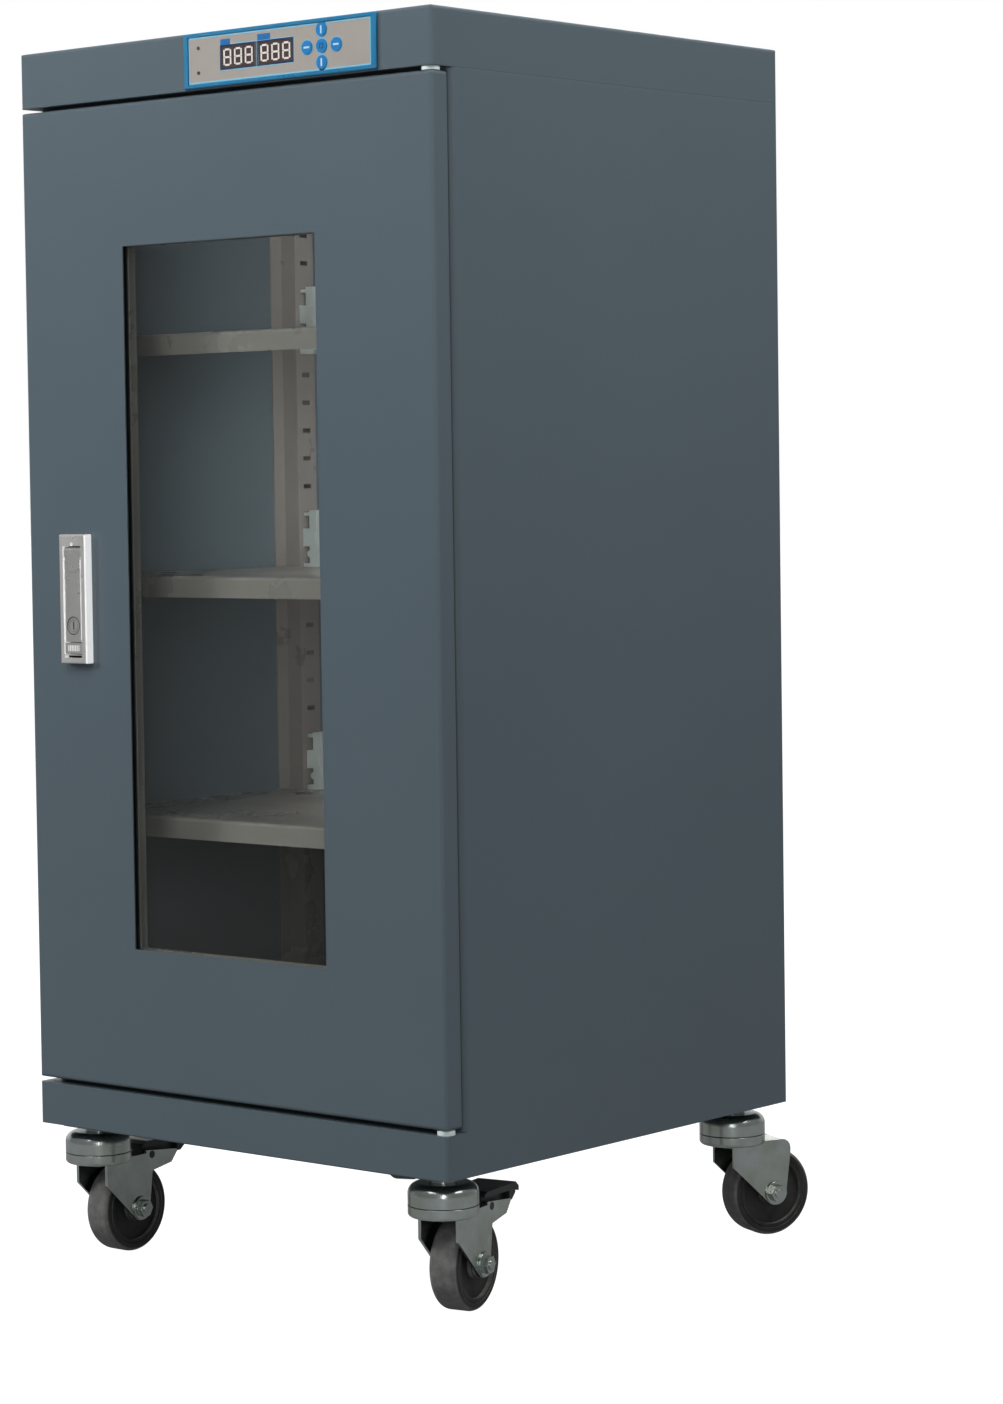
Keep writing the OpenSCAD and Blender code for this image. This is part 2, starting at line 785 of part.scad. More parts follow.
module strike_plate() {
    height = cam_len + cam_w;
    color(zinc) body_place()
        block([side_fold_r - hw, frame_y + sheet, key_z - height / 2],
              [strike_reach - opening_x, frame_y + 2 * sheet, key_z + height / 2]);
}

module caster_stem() {
    translate([0, 0, race_z0]) rotate_extrude() {
        square([race_r - race_round, race_h]);
        square([race_r, race_h - race_round]);
        translate([race_r - race_round, race_h - race_round]) circle(race_round);
    }
    translate([0, 0, race_z0 + race_h]) cylinder(r = neck_r, h = ride_h - base_t - race_z0 - race_h);
    translate([0, 0, race_z0]) cylinder(r = stem_r, h = ride_h + stem_up - race_z0);
    translate([0, 0, ride_h]) hex_prism(nut_af, nut_h);
    translate([0, 0, ring_z0 - king_head_h]) {
        cylinder(r = kingpin_r, h = ring_h + king_head_h + race_gap + cut);
        cylinder(r = king_head_r, h = king_head_h - run_gap);
    }
}

module caster_stems() {
    color(zinc) body_place() for (x = [-caster_x, caster_x], y = [-caster_y, caster_y])
        translate([x, y, 0]) caster_stem();
}

// Door
module door_shell() {
    color(coat) door_place() difference() {
        translate([0, door_back_y, 0]) rotate([90, 0, 0]) soft_box(body_w, door_h, door_t, edge_r);
        translate([0, door_back_y - sheet, 0]) rotate([90, 0, 0])
            soft_box(body_w - 2 * sheet, door_h - 2 * sheet, door_t - 2 * sheet, edge_r - sheet);
        block([-opening_x, door_back_y - sheet - cut, frame_w - door_h / 2],
              [opening_x, door_back_y + cut, door_h / 2 - frame_w]);
        translate([window_x, -hd, 0]) cube([window_w, 2 * sheet + 2 * cut, window_h], center = true);
        translate([handle_x, -hd, 0])
            cube([lever_w + 2 * lever_gap, 2 * sheet + 2 * cut, handle_h - 2 * handle_t], center = true);
        for (z = [sheet / 2 - door_h / 2, door_h / 2 - sheet / 2])
            translate([hinge_x, hinge_y, z]) cylinder(r = bush_r, h = sheet + 2 * cut, center = true);
    }
}

module door_inner() {
    half_w = opening_x + panel_lap;
    half_h = door_h / 2 - frame_w + panel_lap;
    color(inside_coat) door_place() difference() {
        union() {
            block([-half_w, door_back_y - 2 * sheet, -half_h], [half_w, door_back_y - sheet, half_h]);
            block([window_x - window_w / 2 - sheet, gasket_y1, -window_h / 2 - sheet],
                  [window_x + window_w / 2 + sheet, door_back_y - sheet, window_h / 2 + sheet]);
        }
        translate([window_x, 0, 0])
            block([-window_w / 2, -hd, -window_h / 2], [window_w / 2, 0, window_h / 2]);
        translate([handle_x, door_back_y - 2 * sheet - cut, key_z - door_mid]) rotate([-90, 0, 0])
            cylinder(r = shaft_hole_r, h = 2 * sheet + 2 * cut);
    }
}

module glass_block(grow) {
    block([window_x - window_w / 2 - glass_lap, glass_y0, -window_h / 2 - glass_lap] - grow,
          [window_x + window_w / 2 + glass_lap, glass_y1, window_h / 2 + glass_lap] + grow);
}

module window_glass() {
    color([0.55, 0.62, 0.62, 0.35]) door_place() glass_block([0, 0, 0]);
}

module glass_gasket() {
    color(rubber) door_place() difference() {
        glass_block([gasket_side, gasket_skin, gasket_side]);
        glass_block([0, 0, 0]);
        translate([window_x, 0, 0])
            block([-window_w / 2 - gasket_set, -hd, -window_h / 2 - gasket_set],
                  [window_w / 2 + gasket_set, 0, window_h / 2 + gasket_set]);
    }
}

module seal_ring(inset, width, y0, y1) {
    ring_block([inset - hw, y0, inset - door_h / 2], [hw - inset, y1, door_h / 2 - inset],
               [inset + width - hw, 0, inset + width - door_h / 2],
               [hw - inset - width, 0, door_h / 2 - inset - width]);
}

module door_seal() {
    color(rubber) door_place() {
        seal_ring(seal_inset, seal_w, door_back_y, door_back_y + seal_foot_t);
        seal_ring(seal_inset + seal_bulb_inset, seal_w - 2 * seal_bulb_inset, door_back_y, frame_y - fit);
    }
}

module hinge_bushes() {
    color(white_plastic) door_place() translate([hinge_x, hinge_y, 0]) for (sz = [0, 1])
        mirror([0, 0, sz]) translate([0, 0, door_h / 2 - pin_len - fit]) difference() {
            cylinder(r = bush_r, h = pin_len + fit);
            translate([0, 0, -cut]) cylinder(r = pin_r + run_gap, h = pin_len + fit + 2 * cut);
        }
}

// Handle
module handle_place() {
    body_place() translate([handle_x, 0, 0]) children();
}

module escutcheon() {
    pocket_x = lever_w / 2 + lever_gap;
    color(zinc) handle_place() difference() {
        union() {
            translate([0, -hd, door_mid]) rotate([90, 0, 0])
                soft_box(handle_w, handle_h, handle_t, handle_bevel);
            block([-pocket_x + fit, -hd, handle_z0 + handle_t + fit],
                  [pocket_x - fit, lock_depth - hd, handle_z1 - handle_t - fit]);
        }
        block([-pocket_x, handle_front - cut, release_z0 - lever_gap],
              [pocket_x, pocket_floor_y, pivot_z + knuckle_r + lever_gap]);
        translate([0, pocket_floor_y - cut, key_z]) rotate([-90, 0, 0])
            cylinder(r = cam_shaft_r + run_gap, h = lock_depth + sheet + 3 * cut);
        translate([0, handle_front - cut, handle_z1 - handle_t]) rotate([-90, 0, 0])
            cylinder(r = pivot_r, h = handle_t / 2, $fn = fine_fn);
        block([-pocket_x + lever_gap, handle_front - cut, release_z0 - 3 * lever_gap - pivot_r],
              [pocket_x - lever_gap, handle_front + handle_t / 2, release_z0 - 2 * lever_gap]);
        translate([-pocket_x - pivot_pin_lap, pivot_y, pivot_z]) rotate([0, 90, 0])
            cylinder(r = pivot_r, h = 2 * pocket_x + 2 * pivot_pin_lap, $fn = fine_fn);
    }
}

module handle_lever() {
    half = lever_w / 2;
    neck = 3;
    color(zinc) handle_place() difference() {
        union() {
            translate([-half, pivot_y, pivot_z]) rotate([0, 90, 0]) cylinder(r = knuckle_r, h = lever_w);
            translate([-half - lever_gap - pivot_pin_lap + fit, pivot_y, pivot_z]) rotate([0, 90, 0])
                cylinder(r = pivot_r - run_gap, h = lever_w + 2 * (lever_gap + pivot_pin_lap - fit),
                         $fn = fine_fn);
            block([-half, lever_front, lever_end_z], [half, lever_front + lever_t, pivot_z]);
        }
        translate([0, lever_front - cut, key_z]) rotate([-90, 0, 0])
            cylinder(r = key_r + run_gap, h = lever_t + 2 * cut);
        for (sx = [-1, 1]) translate([sx * half, lever_front, pivot_z - knuckle_r - neck]) rotate([0, 0, 45])
            translate([-lever_bevel, -lever_bevel, lever_end_z - pivot_z])
                cube([2 * lever_bevel, 2 * lever_bevel, lever_len]);
    }
}

module key_plug() {
    slot_l = 7;
    slot_t = 1.1;
    slot_d = 3;
    color(zinc) handle_place() translate([0, lever_front + fit, key_z]) rotate([-90, 0, 0]) difference() {
        cylinder(r = key_r, h = lever_t - fit);
        translate([0, 0, slot_d / 2 - cut / 2]) cube([slot_t, slot_l, slot_d + cut], center = true);
    }
}

module release_button() {
    half = lever_w / 2;
    press = 2;
    color(zinc) handle_place() block([-half, handle_front + lever_proud, release_z0],
        [half, pocket_floor_y - press - 2 * fit, release_z1]);
}

module latch_cam() {
    color(zinc) handle_place() translate([0, 0, key_z]) {
        translate([0, pocket_floor_y + fit, 0]) rotate([-90, 0, 0])
            cylinder(r = cam_shaft_r, h = cam_y0 + cam_t - pocket_floor_y - fit);
        translate([0, cam_y0 + cam_t, 0]) rotate([90, 0, 0]) linear_extrude(cam_t) {
            circle(cam_w / 2);
            translate([-cam_w / 2, cam_round - cam_len]) square([cam_w, cam_len - cam_round]);
            translate([cam_round - cam_w / 2, -cam_len]) square([cam_w - 2 * cam_round, cam_len]);
            for (x = [cam_round - cam_w / 2, cam_w / 2 - cam_round])
                translate([x, cam_round - cam_len]) circle(cam_round, $fn = fine_fn);
        }
    }
}

// Casters, each in its own frame: swivel axis on Z, wheel trailing towards +Y, axle along X
function tangent(p, c, r, s) =
    let (d = c - p, l = norm(d), a = atan2(d.y, d.x) + s * asin(r / l), t = sqrt(l * l - r * r))
    p + t * [cos(a), sin(a)];

module cheek_outline(brake) {
    axle = [trail, wheel_r];
    top = ring_z0 + fork_t;
    front = [cheek_front, cheek_shoulder];
    back = [trail + axle_boss_r, wheel_r];
    difference() {
        union() {
            translate(axle) circle(axle_boss_r);
            polygon([[cheek_front, top], front, tangent(front, axle, axle_boss_r, -1), axle, back,
                [cheek_back, cheek_shoulder + axle_boss_r], [cheek_back, top - bridge_round],
                [cheek_back - bridge_round, top]]);
            translate([cheek_back - bridge_round, top - bridge_round]) circle(bridge_round);
            if (brake) polygon([[cheek_back - bridge_round, top + fork_t],
                [cheek_back - bridge_round, cheek_shoulder], [cheek_back, cheek_shoulder + axle_boss_r / 2],
                brake_low, [brake_end, ring_z0], [brake_end - fork_t, ring_z0 + fork_t / 2]]);
        }
        translate(axle) circle(axle_r);
        if (brake) translate([pedal_pivot_y, pedal_pivot_z]) circle(pedal_pin_r + run_gap);
    }
}

module cheek(brake) {
    rotate([90, 0, 90]) linear_extrude(fork_t) cheek_outline(brake);
}

module fork(brake) {
    top = ring_z0 + fork_t;
    difference() {
        union() {
            for (sx = [0, 1]) mirror([sx, 0, 0]) translate([cheek_x - fork_t, 0, 0]) cheek(brake);
            translate([0, 0, ring_z0]) linear_extrude(fork_t)
                translate([-cheek_x, cheek_front])
                    square([2 * cheek_x, cheek_back - bridge_round - cheek_front]);
            translate([0, 0, ring_z0]) rotate_extrude() {
                square([race_r - edge_r, ring_h]);
                translate([0, edge_r]) square([race_r, ring_h - edge_r]);
                translate([race_r - edge_r, edge_r]) circle(edge_r);
            }
        }
        translate([0, 0, ring_z0 - cut]) cylinder(r = kingpin_r + run_gap, h = ring_h + 2 * cut);
        if (brake) block([-pedal_half - fit, race_r + fit, ring_z0 - cut],
                         [pedal_half + fit, brake_end, top + cut]);
    }
}

module wheel() {
    half = wheel_w / 2;
    round_r = 5;
    rim_in = wheel_r - 9;
    hub_r = bush_out_r + 5;
    dish = 3.5;
    groove = 1;
    translate([0, trail, wheel_r]) rotate([0, 90, 0]) rotate_extrude() difference() {
        union() {
            translate([bush_out_r + run_gap, -cheek_x + fork_t + fit])
                square([hub_r - bush_out_r, 2 * (cheek_x - fork_t - fit)]);
            translate([bush_out_r + run_gap, -half]) square([wheel_r - round_r - bush_out_r, wheel_w]);
            translate([bush_out_r + run_gap, round_r - half])
                square([wheel_r - bush_out_r - run_gap, wheel_w - 2 * round_r]);
            for (z = [round_r - half, half - round_r]) translate([wheel_r - round_r, z]) circle(round_r);
        }
        for (z = [-half, half]) {
            translate([(hub_r + rim_in) / 2, z])
                square([rim_in - hub_r - 2 * groove, 2 * dish], center = true);
            translate([rim_in + 2 * groove, z]) square([groove, 2 * groove], center = true);
        }
    }
}

module axle() {
    nut_x = cheek_x + axle_washer_t;
    translate([0, trail, wheel_r]) rotate([0, 90, 0]) {
        cylinder(r = axle_r, h = 2 * (nut_x + axle_nut_h + axle_stub), center = true, $fn = fine_fn);
        cylinder(r = bush_out_r, h = 2 * (cheek_x - fork_t), center = true);
        for (sx = [0, 1]) mirror([0, 0, sx]) {
            translate([0, 0, cheek_x]) cylinder(r = axle_washer_r, h = axle_washer_t);
            translate([0, 0, nut_x]) hex_prism(axle_nut_af, axle_nut_h);
        }
    }
}

module pedal() {
    rear = 93;
    front = 36;
    plate_z = 89;
    plate_t = 4;
    rear_drop = 4;
    plate_half = 17;
    shoe = [[55, 71.5], [60.5, 68]];
    web = pedal_half - fit;
    nose = 5;
    rotate([90, 0, 90]) {
        linear_extrude(2 * plate_half, center = true)
            polygon([[front, plate_z], [rear - nose, plate_z - rear_drop / 2], [rear, plate_z - rear_drop],
                [rear, plate_z], [rear - nose, plate_z + plate_t], [front + nose, plate_z + plate_t],
                [front, plate_z + plate_t / 2]]);
        linear_extrude(2 * web, center = true) {
            polygon([[front + nose, plate_z + plate_t / 2], [pedal_pivot_y - nose, pedal_pivot_z - nose],
                shoe[0], shoe[1], [rear - 4 * nose, plate_z]]);
        }
        linear_extrude(2 * (cheek_x + fit), center = true) translate([pedal_pivot_y, pedal_pivot_z])
            circle(pedal_pin_r, $fn = fine_fn);
    }
}

side_panel_left();
side_panel_right();
back_panel();
floor_pan();
plinth_front();
base_plate();
ceiling_pan();
top_cover();
mirror([1, 0, 0]) upright(upright_front_y);  // upright_fl
upright(upright_front_y);  // upright_fr
mirror([1, 0, 0]) upright(upright_back_y);  // upright_bl
upright(upright_back_y);  // upright_br
shelf(shelf_z0 + 2 * shelf_pitch);  // shelf_upper
shelf(shelf_z0 + shelf_pitch);  // shelf_middle
shelf(shelf_z0);  // shelf_lower
shelf_clips();
dryer_housing();
dryer_cartridge();
humidity_probe();
control_board();
power_inlet();
fascia_frame();
fascia_face();
display_windows();
display_digits();
status_lamps();
back_screws();
hinge_pins();
strike_plate();
caster_stems();
key(0);  // key_up
key(1);  // key_down
key(2);  // key_left
key(3);  // key_right
key(4);  // key_centre
door_shell();
door_inner();
window_glass();
glass_gasket();
door_seal();
hinge_bushes();
escutcheon();
handle_lever();
key_plug();
release_button();
latch_cam();
color(zinc) caster_place(-1, -1, turn_fl) fork(true);  // fork_fl
color(zinc) caster_place(1, -1, turn_fr) fork(true);  // fork_fr
color(zinc) caster_place(-1, 1, turn_b) fork(false);  // fork_bl
color(zinc) caster_place(1, 1, -turn_b) fork(false);  // fork_br
color(rubber) caster_place(-1, -1, turn_fl) wheel();  // wheel_fl
color(rubber) caster_place(1, -1, turn_fr) wheel();  // wheel_fr
color(rubber) caster_place(-1, 1, turn_b) wheel();  // wheel_bl
color(rubber) caster_place(1, 1, -turn_b) wheel();  // wheel_br
color(zinc) caster_place(-1, -1, turn_fl) axle();  // axle_fl
color(zinc) caster_place(1, -1, turn_fr) axle();  // axle_fr
color(zinc) caster_place(-1, 1, turn_b) axle();  // axle_bl
color(zinc) caster_place(1, 1, -turn_b) axle();  // axle_br
color(rubber) caster_place(-1, -1, turn_fl) pedal();  // pedal_fl
color(rubber) caster_place(1, -1, turn_fr) pedal();  // pedal_fr
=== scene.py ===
"""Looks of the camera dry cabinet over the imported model: finishes, small trim, light and camera."""

import json
import math

import bmesh
import bpy
from mathutils import Matrix, Vector


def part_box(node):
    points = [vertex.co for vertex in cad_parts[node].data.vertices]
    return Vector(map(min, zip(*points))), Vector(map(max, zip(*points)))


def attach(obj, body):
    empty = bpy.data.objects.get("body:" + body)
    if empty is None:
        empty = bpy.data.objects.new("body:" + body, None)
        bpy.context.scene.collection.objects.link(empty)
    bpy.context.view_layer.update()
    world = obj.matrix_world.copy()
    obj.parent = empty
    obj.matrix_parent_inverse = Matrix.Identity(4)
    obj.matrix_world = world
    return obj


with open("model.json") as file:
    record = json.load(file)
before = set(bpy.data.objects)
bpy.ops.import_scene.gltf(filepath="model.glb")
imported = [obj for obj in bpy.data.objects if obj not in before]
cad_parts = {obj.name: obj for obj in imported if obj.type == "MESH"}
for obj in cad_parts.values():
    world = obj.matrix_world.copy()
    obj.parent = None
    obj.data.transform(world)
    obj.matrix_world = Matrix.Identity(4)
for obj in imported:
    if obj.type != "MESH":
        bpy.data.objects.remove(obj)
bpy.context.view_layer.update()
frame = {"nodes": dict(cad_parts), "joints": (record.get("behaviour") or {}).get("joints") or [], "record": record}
nodes = frame["nodes"]
MM = 0.001
CORNERS_IN_FRONT = ("fl", "fr")
CORNERS = ("fl", "fr", "bl", "br")
TOWARDS_FRONT = Vector((0, -1, 0))
UPWARDS = Vector((0, 0, 1))
RIGHTWARDS = (1.0, 0.0, 0.0)
WHITE = (1.0, 1.0, 1.0, 1.0)


# Node graphs
def linear(r, g, b):
    """Linear colour of an sRGB colour whose channels run to 255."""
    return [((c / 255 + 0.055) / 1.055) ** 2.4 for c in (r, g, b)] + [1.0]


def scaled(colour, share):
    return [min(c * share, 1.0) for c in colour[:3]] + [1.0]


EDGE_SAMPLES = 4


class Graph:
    """Short forms for adding shader nodes to a tree and joining them."""

    def __init__(self, tree):
        self.tree = tree

    def add(self, kind, inputs=None, **settings):
        node = self.tree.nodes.new("ShaderNode" + kind)
        for key, value in settings.items():
            setattr(node, key, value)
        for key, value in (inputs or {}).items():
            self.feed(node.inputs[key], value)
        return node

    def feed(self, socket, value):
        if isinstance(value, bpy.types.NodeSocket):
            self.tree.links.new(value, socket)
        else:
            socket.default_value = value

    def math(self, operation, a, b=0.0):
        return self.add("Math", {0: a, 1: b}, operation=operation).outputs[0]

    def dot(self, a, b):
        return self.add("VectorMath", {0: a, 1: b}, operation="DOT_PRODUCT").outputs["Value"]

    def spread(self, value, low, high, to_low, to_high):
        node = self.add("MapRange", {0: value, 1: low, 2: high, 3: to_low, 4: to_high})
        return node.outputs[0]

    def mix(self, share, a, b):
        return self.add("Mix", {0: share, 6: a, 7: b}, data_type="RGBA").outputs[2]

    def mix_shaders(self, share, a, b):
        return self.add("MixShader", {0: share, 1: a, 2: b}).outputs[0]

    def noise(self, place, scale, detail=3.0, rough=0.55):
        inputs = {"Vector": place, "Scale": scale, "Detail": detail, "Roughness": rough}
        return self.add("TexNoise", inputs).outputs[0]

    def stretch(self, place, share):
        return self.add("VectorMath", {0: place, 1: share}, operation="MULTIPLY").outputs[0]

    def soft_edge(self, radius):
        return self.add("Bevel", {"Radius": radius}, samples=EDGE_SAMPLES).outputs[0]


class Surface(Graph):
    """A new material's graph, with its main shader at hand."""

    def __init__(self, name):
        self.material = bpy.data.materials.new(name)
        self.material.use_nodes = True
        super().__init__(self.material.node_tree)
        self.shader = self.tree.nodes["Principled BSDF"]

    def say(self, **inputs):
        """Feeds the main shader's inputs, named with underscores for spaces."""
        for key, value in inputs.items():
            self.feed(self.shader.inputs[key.replace("_", " ")], value)

    def bumped(self, height, depth, round_edge):
        inputs = {"Strength": 1.0, "Distance": depth, "Height": height, "Normal": round_edge}
        self.say(Normal=self.add("Bump", inputs).outputs[0])


# Materials: every finish is a node graph on its surface's own coordinates
# A noise is its scale, detail and roughness, a span the part of a value that runs from 0 to 1
CLOUD_DETAIL, CLOUD_ROUGH, CLOUD_SPAN = 4.0, 0.6, (0.32, 0.68)
RIM_SPAN = (0.995, 0.86)
BREAK_NOISE, BREAK_SPAN, BREAK_SHARES = (60.0, 5.0, 0.7), (0.42, 0.62), (0.35, 1.0)
WORN_LIGHTER = 1.9
TOUCH_NOISE, TOUCH_SPAN = (11.0, 5.0, 0.65), (0.3, 0.7)
GRAIN_DETAIL, GRAIN_ROUGH = 2.0, 0.5
RIGHT_HIGHLIGHT_SPAN, RIGHT_HIGHLIGHT_GLOW = (0.25, 0.8), 0.45
COAT_ROUGH = 0.12
FILM_NOISE, FILM_SPAN, FILM_ROUGH = (5.0, 5.0, 0.6), (0.4, 0.75), (0.0, 0.03)
SIDEWALL_SPAN = (0.8, 0.93)
SCUFF_NOISE, SCUFF_SPAN = (90.0, 6.0, 0.7), (0.35, 0.65)
SCUFF_ROUGH_SPAN, SCUFF_ROUGH = (0.3, 0.7), (0.5, 0.68)
DUST_NOISE, DUST_SPAN = (35.0, 4.0, 0.6), (0.4, 0.75)
RUBBER_GRAIN, RUBBER_DEPTH, RUBBER_EDGE_R = (700.0, 3.0, 0.6), 0.00006, 0.0008


def finish(name, colour, rough, metal=0.0, specular=0.5, second=None, mottle=0.06, cloud=7.0,
           grain=900.0, depth=0.00003, edge_r=0.0007, edge=0.25, wear_and_highlight=None, smudge=0.08,
           stretch=(1.0, 1.0, 1.0), coat=0.0, glow=0.0, side=None):
    """A surface with colour clouds, fine grain, smudged gloss and lighter, softly rounded edges; the lighter edges
    are wear, and a painted highlight where their colour is near white.
    Where side is given, faces turned to the right take that colour and glow a little, a painted highlight."""
    g = Surface(name)
    place = g.add("TexCoord").outputs["Object"]
    drawn = g.stretch(place, stretch)
    clouds = g.noise(drawn, cloud, CLOUD_DETAIL, CLOUD_ROUGH)
    share = g.spread(clouds, *CLOUD_SPAN, 0.0, 1.0)
    base = g.mix(share, scaled(colour, 1 - mottle), second or scaled(colour, 1 + mottle))
    round_edge = g.soft_edge(edge_r)
    flat = g.add("NewGeometry").outputs["Normal"]
    rim = g.spread(g.dot(round_edge, flat), *RIM_SPAN, 0.0, 1.0)
    broken = g.spread(g.noise(place, *BREAK_NOISE), *BREAK_SPAN, *BREAK_SHARES)
    # Edge share: wear on most finishes, a painted highlight where the edge colour is near white
    edge_wear_and_highlight = g.math("MULTIPLY", g.math("MULTIPLY", rim, broken), edge)
    base = g.mix(edge_wear_and_highlight, base, wear_and_highlight or scaled(colour, WORN_LIGHTER))
    # Painted highlight: faces turned to the right take the side colour and glow
    if side:
        share = g.spread(g.dot(flat, RIGHTWARDS), *RIGHT_HIGHLIGHT_SPAN, 0.0, 1.0)
        base = g.mix(share, base, side)
        g.say(Emission_Color=side, Emission_Strength=g.math("MULTIPLY", share, RIGHT_HIGHLIGHT_GLOW))
    touched = g.noise(place, *TOUCH_NOISE)
    smooth, dull = rough - smudge / 2, rough + smudge / 2
    g.say(Base_Color=base, Metallic=metal, Specular_IOR_Level=specular,
          Roughness=g.spread(touched, *TOUCH_SPAN, smooth, dull),
          Coat_Weight=coat, Coat_Roughness=COAT_ROUGH)
    g.bumped(g.noise(drawn, grain, GRAIN_DETAIL, GRAIN_ROUGH), depth, round_edge)
    if glow:
        g.say(Emission_Color=base, Emission_Strength=glow)
    return g.material


def glass_finish(name):
    """Thin faintly warm glass with a film of grease, which lets lamp light through unbent."""
    g = Surface(name)
    place = g.add("TexCoord").outputs["Object"]
    film = g.noise(place, *FILM_NOISE)
    g.say(Base_Color=linear(238, 235, 231), Transmission_Weight=1.0, IOR=1.2,
          Specular_IOR_Level=0.2, Roughness=g.spread(film, *FILM_SPAN, *FILM_ROUGH))
    rays = g.add("LightPath").outputs
    open_to = g.math("MAXIMUM", rays["Is Shadow Ray"], rays["Is Diffuse Ray"])
    clear = g.add("BsdfTransparent", {"Color": linear(248, 252, 250)}).outputs[0]
    both = g.mix_shaders(open_to, g.shader.outputs[0], clear)
    g.feed(g.tree.nodes["Material Output"].inputs["Surface"], both)
    return g.material


def wheel_finish(name, axis):
    """Grey tread, lighter partly as painted sheen and partly as scuffs, and dusty black sides, told apart by the
    surface's own normal.
    """
    g = Surface(name)
    coords = g.add("TexCoord").outputs
    place, normal = coords["Object"], coords["Normal"]
    side = g.spread(g.math("ABSOLUTE", g.dot(normal, axis)), *SIDEWALL_SPAN, 0.0, 1.0)
    scuffs = g.noise(place, *SCUFF_NOISE)
    wear_and_highlight = g.spread(scuffs, *SCUFF_SPAN, 0.0, 1.0)
    # The tread's grey is partly a painted sheen on the black rubber and partly scuffs
    sheen_and_scuff_tread = g.mix(wear_and_highlight, linear(86, 86, 86), linear(120, 119, 118))
    dusty = g.spread(g.noise(place, *DUST_NOISE), *DUST_SPAN, 0.0, 1.0)
    black = g.mix(dusty, linear(26, 25, 25), linear(52, 50, 49))
    g.say(Base_Color=g.mix(side, sheen_and_scuff_tread, black), Specular_IOR_Level=0.35,
          Roughness=g.spread(scuffs, *SCUFF_ROUGH_SPAN, *SCUFF_ROUGH))
    g.bumped(g.noise(place, *RUBBER_GRAIN), RUBBER_DEPTH, g.soft_edge(RUBBER_EDGE_R))
    return g.material


